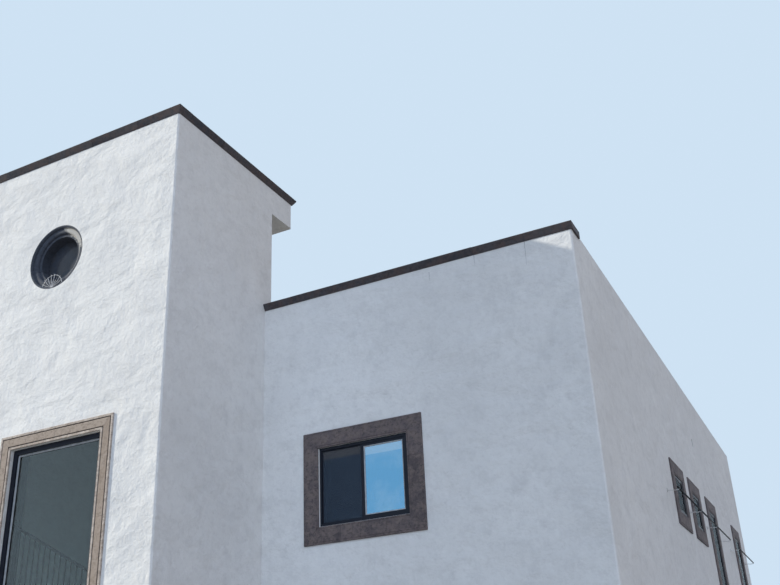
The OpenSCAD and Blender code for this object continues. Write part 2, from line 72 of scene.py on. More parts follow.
# The tall window: middle, width, sill above the ground, height, width of its frame and w of
# its panes, and the heights of its crossbar above the ground
TALL = {"x": X_LEFT + 2.775, "w": 1.75, "sill": 0.915, "h": 4.38, "frame": 0.075, "pane": -0.098}
TALL_BAR = (2.73, 2.77)
# The oculus: middle, rim radius, rows of a rounded moulding and a ledge, and depth
OCULUS = {"x": X_LEFT + 2.35, "z": 8.41, "r": 0.555, "rows": 2, "mould": 0.04, "ledge": 0.045,
          "depth": 0.29}
OCULUS_INNER = OCULUS["r"] - OCULUS["rows"] * (OCULUS["mould"] + OCULUS["ledge"])

# Doors: width and height
ENTRANCE = {"w": 1.2, "h": 2.15}
ROOF_DOOR = {"w": 0.9, "h": 2.1}

# Width of the window frames, width and overlap of the sashes, and w of the panes' middles
FRAME_W, SASH_W, SASH_LAP = 0.045, 0.04, 0.04
PANE_W, SIDE_PANE_W = -0.06, -0.002
FRONT_PANE_TOP = STOREYS[1] + SLIDER["sill"] + SLIDER["h"] - FRAME_W - SASH_W
BAND = 0.255  # width of the flat surrounds


# Materials -----------------------------------------------------------------------------------


class Finish:
    """A procedural material round one Principled shader, with textures in metres."""

    def __init__(self, name, roughness, colour=None, **settings):
        self.material = bpy.data.materials.new(name)
        self.material.use_nodes = True
        self.tree = self.material.node_tree
        self.shader = self.tree.nodes["Principled BSDF"]
        self.shader.inputs["Roughness"].default_value = roughness
        if colour:
            self.shader.inputs["Base Color"].default_value = (*colour, 1)
            self.material.diffuse_color = (*colour, 1)
        for socket, value in settings.items():
            self.shader.inputs[socket.replace("_", " ")].default_value = value
        self.place = self.add("ShaderNodeTexCoord").outputs["Object"]

    def add(self, kind, **inputs):
        node = self.tree.nodes.new(kind)
        for name, value in inputs.items():
            self.feed(node.inputs[name.replace("_", " ")], value)
        return node

    def feed(self, socket, value):
        """Links an output to the socket, or sets it to a plain value or colour."""
        if isinstance(value, bpy.types.NodeSocket):
            self.tree.links.new(value, socket)
        elif socket.type == "RGBA":
            socket.default_value = (*value, 1)
        else:
            socket.default_value = value

    def math(self, operation, a, b=0.0):
        node = self.tree.nodes.new("ShaderNodeMath")
        node.operation = operation
        self.feed(node.inputs[0], a)
        self.feed(node.inputs[1], b)
        return node.outputs[0]

    def noise(self, scale, detail=3.0, roughness=0.5, stretch=(1, 1, 1), distortion=0.0):
        """Cloudy texture; stretch multiplies the coordinates, so below 1 it grows longer."""
        place = self.add("ShaderNodeMapping", Vector=self.place, Scale=Vector(stretch))
        return self.add(
            "ShaderNodeTexNoise",
            Vector=place.outputs[0],
            Scale=scale,
            Detail=detail,
            Roughness=roughness,
            Distortion=distortion,
        ).outputs[0]

    def cells(self, scale):
        """Pores: the distance to the middle of the nearest cell."""
        node = self.add("ShaderNodeTexVoronoi", Vector=self.place, Scale=scale)
        return node.outputs["Distance"]

    def height(self):
        return self.add("ShaderNodeSeparateXYZ", Vector=self.place).outputs[2]

    def ramp(self, value, *stops):
        """Colours along a value, between two stops of (position, colour)."""
        node = self.add("ShaderNodeValToRGB", Fac=value)
        for element, (position, colour) in zip(node.color_ramp.elements, stops):
            element.position, element.color = position, (*colour, 1)
        return node.outputs[0]

    def between(self, value, low, high, to_low=0.0, to_high=1.0):
        """The value's range from low to high, spread over another range."""
        node = self.add("ShaderNodeMapRange", Value=value)
        for i, number in enumerate((low, high, to_low, to_high), 1):
            node.inputs[i].default_value = number
        return node.outputs[0]

    def mix(self, amount, a, b):
        """Colour a where amount is 0 and b where it is 1."""
        node = self.tree.nodes.new("ShaderNodeMix")
        node.data_type = "RGBA"
        self.feed(node.inputs[0], amount)
        self.feed(node.inputs[6], a)
        self.feed(node.inputs[7], b)
        return node.outputs[2]

    def relief(self, *layers):
        """Bump from layers of (texture, depth in metres)."""
        height = None
        for texture, depth in layers:
            part = self.math("MULTIPLY", texture, depth)
            height = part if height is None else self.math("ADD", height, part)
        bump = self.add("ShaderNodeBump", Height=height, Strength=1.0, Distance=1.0)
        self.feed(self.shader.inputs["Normal"], bump.outputs[0])

    def done(self, colour=None, roughness=None):
        """The finished material, with these outputs on its shader."""
        if colour is not None:
            self.feed(self.shader.inputs["Base Color"], colour)
        if roughness is not None:
            self.feed(self.shader.inputs["Roughness"], roughness)
        return self.material


def make_plaster():
    """White lime plaster, floated by hand: broad waves, dabs and grit, and darker mottling that is
    partly dirt and partly painted shade of the relief.
    """
    f = Finish("lime_plaster", 0.9)
    patches = f.noise(0.55, 4.0, 0.6, distortion=0.4)
    sweeps = f.noise(1.6, 4.0, 0.5, stretch=(0.8, 0.8, 1.2), distortion=0.3)
    dabs = f.noise(8.5, 4.0, 0.6, stretch=(1, 1, 0.8))
    grime_and_relief_shade = f.noise(3.4, 6.0, 0.72)
    blots = f.noise(12.0, 4.0, 0.7)
    grit = f.noise(28.0, 3.0, 0.6)
    colour = f.ramp(patches, (0.3, (0.77, 0.77, 0.765)), (0.7, (0.85, 0.85, 0.84)))
    # The darker mottling below is partly real grime and partly painted shade of the trowel relief
    colour = f.mix(f.between(dabs, 0.35, 0.75, 0.0, 0.35), colour, (0.71, 0.71, 0.71))
    colour = f.mix(f.between(grime_and_relief_shade, 0.50, 0.68, 0.0, 0.5), colour, (0.65, 0.65, 0.65))
    colour = f.mix(f.between(blots, 0.52, 0.70, 0.0, 0.5), colour, (0.68, 0.675, 0.67))
    f.relief((sweeps, 0.075), (dabs, 0.011), (grit, 0.008))
    return f.done(colour)


def make_stone(name, dark, pale, fleck, painted_sunlight=None):
    """Quarried volcanic stone: a tone for each block, pores and flecks, and maybe a mask of
    painted sunlight.
    """
    f = Finish(name, 0.85)
    tone = f.add("ShaderNodeAttribute")
    tone.attribute_name = "tone"
    clouds = f.noise(6.0, 5.0, 0.7, distortion=0.5)
    pores = f.cells(150.0)
    flecks = f.noise(17.0, 6.0, 0.75, stretch=(1, 1, 1.3), distortion=0.4)
    colour = f.mix(tone.outputs["Fac"], dark, pale)
    colour = f.mix(f.between(clouds, 0.42, 0.60, 0.0, 0.85), colour, fleck)
    colour = f.mix(f.between(flecks, 0.48, 0.62, 0.0, 0.6), colour, tuple(0.5 * c for c in dark))
    f.relief((clouds, 0.005), (pores, 0.0012), (flecks, 0.002))
    return f.done(f.mix(painted_sunlight(f), colour, SUNLIGHT_PAINT) if painted_sunlight else colour)


def paint_sunlit_crescent(f):
    """Painted sunlight and highlight on the oculus stones: a ragged sunlit patch at the upper
    right, inside the outer moulding, and a thin highlight line down the right of the inner one."""
    place = f.add("ShaderNodeSeparateXYZ", Vector=f.place)
    u = f.math("SUBTRACT", place.outputs[0], OCULUS["x"])
    v = f.math("SUBTRACT", place.outputs[2], OCULUS["z"])
    square = f.math("ADD", f.math("MULTIPLY", u, u), f.math("MULTIPLY", v, v))
    radius = f.math("SQRT", square)
    reach = f.math("ADD", f.math("MULTIPLY", u, 0.72), f.math("MULTIPLY", v, 0.694))
    ragged = f.math("MULTIPLY", f.noise(16.0, 3.0, 0.6), 0.14)
    painted_sunlight = f.between(f.math("ADD", reach, ragged), 0.458, 0.492)
    painted_sunlight = f.math("MULTIPLY", painted_sunlight, f.between(radius, 0.516, 0.524, 1.0, 0.0))
    ring = f.math(
        "MULTIPLY", f.between(radius, 0.404, 0.412), f.between(radius, 0.452, 0.460, 1.0, 0.0)
    )
    right = f.math("MULTIPLY", f.between(u, 0.18, 0.30), f.between(v, 0.10, 0.20, 1.0, 0.0))
    line = f.math("MULTIPLY", f.math("MULTIPLY", ring, right), 0.8)
    return f.math("MAXIMUM", painted_sunlight, line)


def make_mortar(name, dark, pale):
    """Sandy bed of the joints, also used for the painted shade in the sunk lines and for water
    marks.
    """
    f = Finish(name, 0.95)
    sand = f.noise(150.0, 3.0, 0.7)
    f.relief((sand, 0.0015))
    return f.done(f.ramp(sand, (0.3, dark), (0.7, pale)))


def make_concrete():
    """Bare concrete of the slabs and the roof, in cloudy patches."""
    f = Finish("concrete", 0.9)
    patches = f.noise(0.8, 5.0, 0.6)
    sand = f.noise(60.0, 3.0, 0.7)
    f.relief((patches, 0.006), (sand, 0.0008))
    colour = f.ramp(patches, (0.3, (0.30, 0.29, 0.275)), (0.7, (0.42, 0.41, 0.39)))
    return f.done(f.mix(f.between(sand, 0.55, 0.8, 0.0, 0.4), colour, (0.22, 0.21, 0.20)))


def make_coat(name, roughness, clean, dusty, specular=0.35):
    """Coat on metal with a light orange peel and a little dust."""
    f = Finish(name, roughness, Specular_IOR_Level=specular)
    dust = f.noise(6.0, 5.0, 0.65)
    peel = f.noise(400.0, 2.0)
    f.relief((peel, 0.00012))
    colour = f.ramp(dust, (0.4, clean), (0.75, dusty))
    return f.done(colour, f.between(dust, 0.35, 0.7, roughness - 0.06, roughness + 0.14))


def make_glass(name, colour, metallic=0.0, ior=1.5, top=None):
    """Clear glass, or when top is given a pane with a painted sky reflection: pale painted cloud
    patches and a paler painted band above the height top.
    """
    f = Finish(name, 0.02, colour, Metallic=metallic, Transmission_Weight=1.0, IOR=ior)
    f.relief((f.noise(1.3, 1.0), 0.003))
    if top is None:
        return f.done()
    pale = tuple(0.55 * c + 0.45 for c in colour)
    soft = f.mix(f.between(f.noise(2.2, 4.0, 0.6), 0.45, 0.75, 0.0, 0.45), colour, pale)
    return f.done(f.mix(f.between(f.height(), top, top + 0.004, 0.0, 0.55), soft, pale))


def make_dusty_shaded_glass():
    """Pane of the oculus with dust on it; its dark bluish colour is painted shade of the unlit
    inside.
    """
    f = Finish("oculus_glass", 0.12, Transmission_Weight=0.4, IOR=1.25)
    dust = f.noise(5.0, 4.0, 0.6)
    return f.done(f.ramp(dust, (0.35, (0.085, 0.100, 0.130)), (0.7, (0.120, 0.120, 0.130))))


def make_galvanised():
    """Dull zinc on the wire of the oculus."""
    f = Finish("galvanised_wire", 0.5, Metallic=0.6)
    spangle = f.noise(180.0, 3.0, 0.6)
    return f.done(f.ramp(spangle, (0.3, (0.27, 0.27, 0.29)), (0.7, (0.42, 0.42, 0.44))))


def make_seal():
    """Pale grey glazing seal."""
    f = Finish("glazing_seal", 0.6)
    grime = f.noise(14.0, 4.0, 0.6)
    return f.done(f.ramp(grime, (0.35, (0.30, 0.32, 0.34)), (0.7, (0.46, 0.48, 0.50))))


def make_screen():
    """Woven insect screen: dark threads that let a third of the light through, with a painted
    reflection at the top, a paler band as on the pane beside it."""
    f = Finish("insect_screen", 0.8, Alpha=0.7)
    dust = f.noise(5.0, 4.0, 0.6)
    weave = f.cells(700.0)
    f.relief((weave, 0.0004))
    colour = f.ramp(dust, (0.35, (0.018, 0.034, 0.058)), (0.7, (0.028, 0.048, 0.076)))
    # Painted reflection: a paler band near the top of the screen
    painted_reflection_band = f.between(f.height(), FRONT_PANE_TOP - 0.10, FRONT_PANE_TOP - 0.096)
    return f.done(f.mix(painted_reflection_band, colour, (0.072, 0.074, 0.082)))


def make_wood():
    """Dark stained door wood with an upright grain."""
    f = Finish("door_wood", 0.5)
    grain = f.noise(30.0, 5.0, 0.65, stretch=(1, 1, 0.06), distortion=0.8)
    fibres = f.noise(220.0, 3.0, 0.7, stretch=(1, 1, 0.03))
    f.relief((grain, 0.0015), (fibres, 0.0005))
    colour = f.ramp(grain, (0.3, (0.045, 0.020, 0.010)), (0.7, (0.12, 0.060, 0.030)))
    return f.done(f.mix(f.between(fibres, 0.5, 0.8, 0.0, 0.5), colour, (0.03, 0.014, 0.008)))


SUNLIGHT_PAINT = (0.46, 0.45, 0.43)  # pale colour of the painted sunlight on the oculus stones

PLASTER = make_plaster()
DARK_STONE = make_stone(
    "dark_stone", (0.076, 0.062, 0.066), (0.128, 0.106, 0.110), (0.185, 0.145, 0.135)
)
# The coping is real dark stone, painted darker and bluer still for the shade it stands in
COPING_STONE_AND_SHADE = make_stone(
    "coping_stone", (0.034, 0.038, 0.050), (0.072, 0.066, 0.074), (0.085, 0.060, 0.058)
)
# The oculus stone is painted darker and bluer than the surrounds' stone for the shade of its
# recess, with painted sunlight mixed in
RING_STONE_SHADE_AND_SUN = make_stone(
    "ring_stone_painted_shade_and_sunlight", (0.036, 0.046, 0.066), (0.058, 0.068, 0.090), (0.050, 0.056, 0.078), paint_sunlit_crescent
)
TAN_STONE = make_stone("tan_stone", (0.33, 0.26, 0.21), (0.60, 0.53, 0.47), (0.38, 0.31, 0.26))
MORTAR = make_mortar("mortar", (0.045, 0.040, 0.042), (0.095, 0.083, 0.084))
STAIN = make_mortar("runoff_stain", (0.34, 0.35, 0.36), (0.46, 0.47, 0.48))
COPING_MORTAR = make_mortar("coping_mortar", (0.022, 0.024, 0.030), (0.040, 0.040, 0.046))
TAN_MORTAR = make_mortar("tan_mortar", (0.19, 0.15, 0.125), (0.28, 0.23, 0.195))
# Near-black painted shade for the floors of the tall surround's sunk lines
GROOVE_SHADE = make_mortar("groove", (0.016, 0.011, 0.009), (0.035, 0.026, 0.022))
CONCRETE = make_concrete()
BLACK_ALUMINIUM = make_coat(
    "black_aluminium", 0.42, (0.004, 0.006, 0.013), (0.009, 0.012, 0.021), 0.2
)
BLACK_IRON = make_coat("black_iron", 0.55, (0.004, 0.005, 0.008), (0.009, 0.010, 0.013), 0.12)
PALE_COAT = make_coat("pale_coat", 0.6, (0.60, 0.60, 0.60), (0.50, 0.49, 0.48))
CLEAR_GLASS = make_glass("clear_glass", (0.80, 0.93, 0.92))
SIDE_GLASS = make_glass("side_glass", (0.50, 0.66, 0.70), ior=1.015)
OCULUS_GLASS = make_dusty_shaded_glass()
# Dark coat that paints the shade of the tall window's reveal
REVEAL_SHADE_COAT = make_coat("reveal_painted_shade", 0.8, (0.022, 0.030, 0.034), (0.032, 0.040, 0.044), 0.2)
# The blue metallic tint of this pane is a painted reflection of the sky
SKY_REFLECTION_GLASS = make_glass("painted_sky_reflection_glass", (0.22, 0.53, 0.78), 0.75, top=FRONT_PANE_TOP - 0.14)
GALVANISED = make_galvanised()
SEAL = make_seal()
SCREEN = make_screen()
DOOR_WOOD = make_wood()

FINISHES = {
    "lime_plaster": PLASTER,
    "concrete": CONCRETE,
    "dark_stone": DARK_STONE,
    "tan_stone": TAN_STONE,
    "black_aluminium": BLACK_ALUMINIUM,
    "black_iron": BLACK_IRON,
    "pane": CLEAR_GLASS,
    "door_wood": DOOR_WOOD,
}
for subpart in frame["record"]["subparts"]:
    slots = nodes[subpart["node"]].data.materials
    slots.clear()
    slots.append(FINISHES[subpart["material_slot"]])
for node in ("right_window_glass", "long_window_glass", "left_window_glass"):
    nodes[node].data.materials[0] = SIDE_GLASS
nodes["oculus_glass"].data.materials[0] = OCULUS_GLASS


# Pieces --------------------------------------------------------------------------------------

ACROSS = {
    "front": (Vector((1, 0, 0)), Vector((0, -1, 0))),
    "right": (Vector((0, 1, 0)), Vector((1, 0, 0))),
    "back": (Vector((-1, 0, 0)), Vector((0, 1, 0))),
    "left": (Vector((0, -1, 0)), Vector((-1, 0, 0))),
}
UP = Vector((0, 0, 1))
SHARP_ANGLE = 25  # degrees between two faces from which their edge isn't shaded round


def put(name, data):
    """A new object of the scene with this data."""
    thing = bpy.data.objects.new(name, data)
    bpy.context.scene.collection.objects.link(thing)
    return thing


def turn(count):
    """Angles of a full turn in even steps."""
    return [2 * math.pi * k / count for k in range(count)]


def axes(u, v, w, origin):
    """The matrix that takes u, v and w to the house's own axes."""
    place = Matrix((u, v, w)).transposed().to_4x4()
    place.translation = origin
    return place


def on_wall(side, x, y, z):
    """u, v and w of a wall, from a point on its face."""
    u, w = ACROSS[side]
    return axes(u, UP, w, Vector((x, y, z)))


def on_top(side, x, y, z):
    """u along a wall, v out of it and w up, for copings."""
    u, v = ACROSS[side]
    return axes(u, v, UP, Vector((x, y, z)))


class Piece:
    """One mesh built from swept solids, each with its own tone and material."""

    def __init__(self, name, *materials):
        self.name, self.materials = name, materials
        self.mesh = bmesh.new()
        self.tone = self.mesh.faces.layers.float.new("tone")
        self.dice = random.Random(name)

    def sweep(self, rings, material=0, tone=None):
        """A closed solid through rings of points, capped at both ends."""
        tone = self.dice.random() if tone is None else tone
        rows = [[self.mesh.verts.new(p) for p in ring] for ring in rings]
        faces = [rows[0][::-1], rows[-1]]
        for low, high in zip(rows, rows[1:]):
            for i in range(len(low)):
                j = (i + 1) % len(low)
                faces.append([low[i], low[j], high[j], high[i]])
        for corners in faces:
            face = self.mesh.faces.new(corners)
            face.material_index, face[self.tone], face.smooth = material, tone, True

    def finish(self, slot, *replaced):
        """Puts the piece in the scene in place of these nodes; slot is not used."""
        bmesh.ops.recalc_face_normals(self.mesh, faces=self.mesh.faces)
        data = bpy.data.meshes.new(self.name)
        self.mesh.to_mesh(data)
        self.mesh.free()
        for material in self.materials:
            data.materials.append(material)
        data.set_sharp_from_angle(angle=math.radians(SHARP_ANGLE))
        piece = put(self.name, data)
        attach(piece, "root")
        if replaced:
            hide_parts(*replaced)


class Side:
    """A straight run that a profile is swept along, mitred at an end or cut square."""

    def __init__(self, start, end, mitre_start=True, mitre_end=True, out=None):
        self.start, self.end = Vector(start), Vector(end)
        self.length = (self.end - self.start).length
        self.along = (self.end - self.start) / self.length
        self.out = Vector(out or (self.along.y, -self.along.x))
        self.mitres = (mitre_start, mitre_end)

    def point(self, at, a):
        """The point at a share of the run, a metres outside it."""
        slide = 0.0
        if at <= 0 and self.mitres[0]:
            slide = -a
        if at >= 1 and self.mitres[1]:
            slide = a
        return self.start.lerp(self.end, at) + self.along * slide + self.out * a


def strip(start, end, out=(0, 1)):
    """A side with square ends that the profile grows from towards out."""
    return Side(start, end, False, False, out)


def frame_sides(w, h):
    """The four sides of an opening that starts at v = 0, run anticlockwise."""
    corners = [(-w / 2, 0), (w / 2, 0), (w / 2, h), (-w / 2, h)]
    return [Side(corners[i], corners[(i + 1) % 4]) for i in range(4)]


def door_sides(w, h, foot):
    """Jamb, lintel and jamb of a doorway that stands foot below v = 0."""
    return [
        Side((w / 2, -foot), (w / 2, h), False, True),
        Side((w / 2, h), (-w / 2, h)),
        Side((-w / 2, h), (-w / 2, -foot), True, False),
    ]


def inset(profile, by):
    """The profile drawn in by a chamfer's width, for the end or the bed of a stone."""
    low, high = min(a for a, z in profile), max(a for a, z in profile)
    floor = min(z for a, z in profile)
    return [(min(max(a, low + by), high - by), max(z - by, floor)) for a, z in profile]


def run(piece, place, side, profile, cuts=(), gap=0.005, chamfer=0.004, material=0, sink=0.0,
        tones=(0.0, 1.0), lean=None):
    """Stones of one profile along a side, parted by joints at the cuts.

    sink is how far a stone may lie below its neighbours, tones is the range of their
    tones, and lean tells how far both ends of the side slope in at a height."""
    stops = [0.0, *cuts, 1.0]
    small = inset(profile, chamfer)
    for f0, f1 in zip(stops, stops[1:]):
        drop = sink * piece.dice.random()
        rings = []
        for at, shift, shape in (
            (f0, gap / 2, small),
            (f0, gap / 2 + chamfer, profile),
            (f1, -gap / 2 - chamfer, profile),
            (f1, -gap / 2, small),
        ):
            ring = []
            for a, z in shape:
                slope = lean(z) * (1 - 2 * at) if lean and at in (0.0, 1.0) else 0.0
                u, v = side.point(at, a) + side.along * (shift + slope)
                ring.append(place @ Vector((u, v, z - (drop if z > 0.001 else 0.0))))
            rings.append(ring)
        piece.sweep(rings, material, piece.dice.uniform(*tones))


def stone_frame(piece, place, sides, profile, cuts, tones=(0.0, 1.0), gap=0.0035):
    """A surround of cut stones over a mortar bed that shows in their joints."""
    bed = inset(profile, 0.004)
    for side, joints in zip(sides, cuts):
        run(piece, place, side, profile, joints, gap, 0.002, sink=0.001, tones=tones)
        run(piece, place, side, bed, gap=0.0, chamfer=0.0, material=1)


# Flat surround, from the opening outwards: lip, line, field, line and lip
FLAT_PROFILE = [
    (0.0, 0.0), (0.0, 0.022), (0.003, 0.025), (0.022, 0.025), (0.025, 0.021), (0.031, 0.021),
    (0.035, 0.0265), (0.218, 0.0265), (0.222, 0.021), (0.228, 0.021), (0.231, 0.025),
    (0.252, 0.025), (0.255, 0.022), (0.255, 0.0),
]


def even_cuts(piece, sides, stone=0.62):
    """Joints about a stone's length apart, a little off even."""
    cuts = []
    for side in sides:
        count = max(1, round((side.length + BAND) / stone))
        cuts.append(
            [(i + 1 + piece.dice.uniform(-0.12, 0.12)) / count for i in range(count - 1)]
        )
    return cuts


def flat_surrounds(name, side, spots, opening, replaced, cuts=None):
    """The flat stone surrounds of one kind of window, as one piece."""
    piece = Piece(name, DARK_STONE, MORTAR)
    for x, y, z in spots:
        sides = frame_sides(opening["w"], opening["h"])
        joints = cuts or even_cuts(piece, sides)
        stone_frame(piece, on_wall(side, x, y, z), sides, FLAT_PROFILE, joints)
    piece.finish("dark_stone", replaced)


front_window_spot = (FRONT_X, Y_FRONT, STOREYS[1] + SLIDER["sill"])
flat_surrounds(
    "front_window_stones", "front", [front_window_spot], SLIDER, "front_window_surround",
    cuts=[(0.25, 0.47, 0.75), (0.35, 0.70), (0.5,), (0.40,)],
)
flat_surrounds(
    "right_window_stones", "right",
    [(X_RIGHT, y, z + SMALL["sill"]) for z in STOREYS for y in RIGHT_SMALL_Y],
    SMALL, "right_window_surrounds",
)
flat_surrounds(
    "long_window_stones", "right",
    [(X_RIGHT, y, z + LONG["sill"]) for z in STOREYS for y in RIGHT_LONG_Y],
    LONG, "long_window_surrounds",
)
flat_surrounds(
    "left_window_stones", "left",
    [(X_LEFT, y, z + SMALL["sill"]) for z in STOREYS for y in LEFT_SMALL_Y],
    SMALL, "left_window_surrounds",
)
flat_surrounds(
    "back_window_stones", "back",
    [(x, Y_BACK, z + SLIDER["sill"]) for z in STOREYS for x in BACK_X],
    SLIDER, "back_window_surrounds",
)


# Grooved surround of the tall window: pale lip, sunk line, tan band, sunk line and pale lip
TALL_INNER = [
    (0.0, 0.0), (0.0, 0.021), (0.004, 0.025), (0.033, 0.025), (0.036, 0.022), (0.036, 0.0),
]
TALL_BAND = [
    (0.036, 0.0), (0.036, 0.015), (0.050, 0.015), (0.050, 0.022), (0.053, 0.025),
    (0.162, 0.025), (0.165, 0.022), (0.165, 0.015), (0.179, 0.015), (0.179, 0.0),
]
TALL_OUTER = [
    (0.179, 0.0), (0.179, 0.022), (0.182, 0.025), (0.211, 0.025), (0.215, 0.021), (0.215, 0.0),
]
tall = Piece("tall_window_stones", TAN_STONE, TAN_MORTAR, GROOVE_SHADE)
tall_place = on_wall("front", TALL["x"], Y_TOWER, TALL["sill"])
tall_sides = frame_sides(TALL["w"], TALL["h"])
tall_cuts = [(0.5,), (0.22, 0.46, 0.72), (0.5,), (0.26, 0.52, 0.77)]
for profile, tones in (
    (TALL_INNER, (0.8, 1.0)), (TALL_BAND, (0.0, 0.2)), (TALL_OUTER, (0.8, 1.0))
):
    stone_frame(tall, tall_place, tall_sides, profile, tall_cuts, tones, gap=0.002)
GROOVES = ((0.0355, 0.0505), (0.1645, 0.1795))  # edges of the two sunk lines
# The floors of the sunk lines take the near-black material, which paints their shade
for low, high in GROOVES:
    for side in tall_sides:
        run(tall, tall_place, side, [(low, 0.0), (low, 0.0165), (high, 0.0165), (high, 0.0)],
            gap=0.0, chamfer=0.0, material=2)
tall.finish("tan_stone", "tall_window_surround")

# Dark sheet over its reveal, from the metal frame to the wall's inner face, that paints the
# reveal's shade
reveal_shade = Piece("tall_window_lining", REVEAL_SHADE_COAT)
reveal_shade_front = Y_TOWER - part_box("tall_window_frame")[1].y - 0.004
reveal_shade_back = Y_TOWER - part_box("tower_front_wall")[1].y + 0.001
reveal_shade_profile = [
    (-0.005, reveal_shade_back), (-0.005, reveal_shade_front), (-0.0005, reveal_shade_front),
    (-0.0005, reveal_shade_back),
]
for side in tall_sides:
    run(reveal_shade, tall_place, side, reveal_shade_profile, gap=0.0, chamfer=0.0)
reveal_shade.finish("black_aluminium")

entrance = Piece("entrance_stones", DARK_STONE, MORTAR)
stone_frame(
    entrance, on_wall("front", FRONT_X, Y_FRONT, STOREYS[0]),
    door_sides(ENTRANCE["w"], ENTRANCE["h"], STOREYS[0]), FLAT_PROFILE,
    [(0.28, 0.55, 0.80), (0.33, 0.67), (0.22, 0.47, 0.74)],
)
entrance.finish("dark_stone", "entrance_surround")


# Copings -------------------------------------------------------------------------------------

COPING_LIP, COPING_SLOPE = 0.02, 0.055
# Joints of the block coping along X, and the water marks below three of them as
# (x, start below the coping, end below it)
BLOCK_JOINTS = (0.22, 1.03, 1.84, 2.62, 3.485, 4.29)
RUNOFF = ((2.73, 0.085, 0.235), (3.485, 0.0, 0.19), (4.29, 0.0, 0.39))


def coping_profile(width, thick):
    """From the back edge outwards: flat top, worn lip, and a face that slopes in to the bed."""
    return [
        (0.0, 0.0), (0.0, thick - 0.006), (0.006, thick), (width - 0.009, thick - 0.001),
        (width, thick - 0.008), (width, thick - 0.016), (width - 0.002, thick - COPING_LIP),
        (width - COPING_SLOPE - 0.003, 0.004), (width - COPING_SLOPE - 0.006, 0.0),
    ]


def coping_bed(width, thick):
    """The mortar that fills a coping's joints, inside its profile."""
    return [(0.012, 0.003), (0.012, thick - 0.012), (width - 0.012, thick - 0.012),
            (width - 0.014, thick - COPING_LIP - 0.006), (width - COPING_SLOPE - 0.010, 0.003)]


def coping(name, nodes_replaced, runs, thick, corners=False, stone=0.92, joints=None):
    """Coping stones along runs of (side of the house, start point, length, width)."""
    piece = Piece(name, COPING_STONE_AND_SHADE, COPING_MORTAR)

    def lean(z):
        return COPING_SLOPE * max(0.0, 1 - z / (thick - COPING_LIP)) if corners else 0.0

    for side_name, start, length, width in runs:
        side = strip((0, 0), (length, 0))
        count = round(length / stone)
        cuts = joints or [
            (i + 1 + piece.dice.uniform(-0.1, 0.1)) / count for i in range(count - 1)
        ]
        place = on_top(side_name, *start)
        run(piece, place, side, coping_profile(width, thick), cuts, gap=0.004, chamfer=0.004,
            sink=0.006, lean=lean)
        run(piece, place, side, coping_bed(width, thick), gap=0.024, chamfer=0.0, material=1,
            lean=lean)
    piece.finish("dark_stone", *nodes_replaced)


def runoff_lines(top):
    """Hairlines that water left on the plaster below three joints of the coping."""
    piece = Piece("runoff_lines", STAIN)
    place = on_wall("front", 0, Y_FRONT, 0)
    steps = 9
    for x, start, end in RUNOFF:
        rings = []
        for i in range(steps + 1):
            share = i / steps
            half = 0.0042 * (1 - 0.75 * share)
            u = x + piece.dice.uniform(-0.004, 0.004)
            v = top - start - (end - start) * share
            rings.append([place @ Vector((u + du, v, w)) for du, w in (
                (-half, -0.002), (half, -0.002), (half, 0.0006), (-half, 0.0006))])
        piece.sweep(rings)
    piece.finish("lime_plaster")


low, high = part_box("block_front_coping")
size = high - low
coping("block_coping_stones", ["block_front_coping"],
       [("front", (low.x, high.y, low.z), size.x, size.y)], size.z,
       joints=[(x - low.x) / size.x for x in BLOCK_JOINTS])
runoff_lines(low.z)

low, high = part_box("tower_front_coping")
size = high - low
width, thick, left, right = size.y, size.z, low.x, high.x
front_inner, back_inner = high.y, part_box("tower_back_coping")[0].y
coping("tower_front_coping_stones", ["tower_front_coping"],
       [("front", (left, front_inner, low.z), size.x, width)], thick, corners=True)
coping("tower_back_coping_stones", ["tower_back_coping"],
       [("back", (right, back_inner, low.z), size.x, width)], thick, corners=True)
depth = back_inner - front_inner
coping("tower_side_coping_stones", ["tower_side_copings"],
       [("right", (right - width, front_inner, low.z), depth, width),
        ("left", (left + width, back_inner, low.z), depth, width)], thick)


# Oculus: quarter-round mouldings cut from radial stones --------------------------------------

OCULUS_JOINTS = (18, 76, 141, 199, 262, 321, 378)  # degrees, the last one is the first again


def oculus_profile():
    """(radius, w) from the wall's face inwards, closed round the back."""
    points = []
    for row in range(OCULUS["rows"]):
        rim = OCULUS["r"] - row * (OCULUS["mould"] + OCULUS["ledge"])
        for degrees in range(90, 181, 10):
            angle = math.radians(degrees)
            points.append((rim + OCULUS["mould"] * math.cos(angle),
                           -(row + 1) * OCULUS["mould"] + OCULUS["mould"] * math.sin(angle)))
    front = -OCULUS["rows"] * OCULUS["mould"]
    back = -OCULUS["depth"]
    return points + [(OCULUS_INNER, front), (OCULUS_INNER, back), (OCULUS["r"], back)]


def oculus_stones():
    """Radial stones of the ring over the mortar that shows in their joints."""
    piece = Piece("oculus_stones", RING_STONE_SHADE_AND_SUN, COPING_MORTAR)
    place = on_wall("front", OCULUS["x"], Y_TOWER, OCULUS["z"])
    profile = oculus_profile()
    bed = [(r + (0.004 if r < OCULUS["r"] else -0.001), w - 0.004) for r, w in profile]
    steps = 20

    def rings(shape, start, end):
        low, high = math.radians(start), math.radians(end)
        angles = [low + (high - low) * i / steps for i in range(steps + 1)]
        return [[place @ Vector((r * math.cos(a), r * math.sin(a), w)) for r, w in shape]
                for a in angles]

    for start, end in zip(OCULUS_JOINTS, OCULUS_JOINTS[1:]):
        piece.sweep(rings(profile, start + 0.35, end - 0.35))
        piece.sweep(rings(bed, start, end), 1)
    piece.finish("dark_stone", "oculus_ring")


oculus_stones()


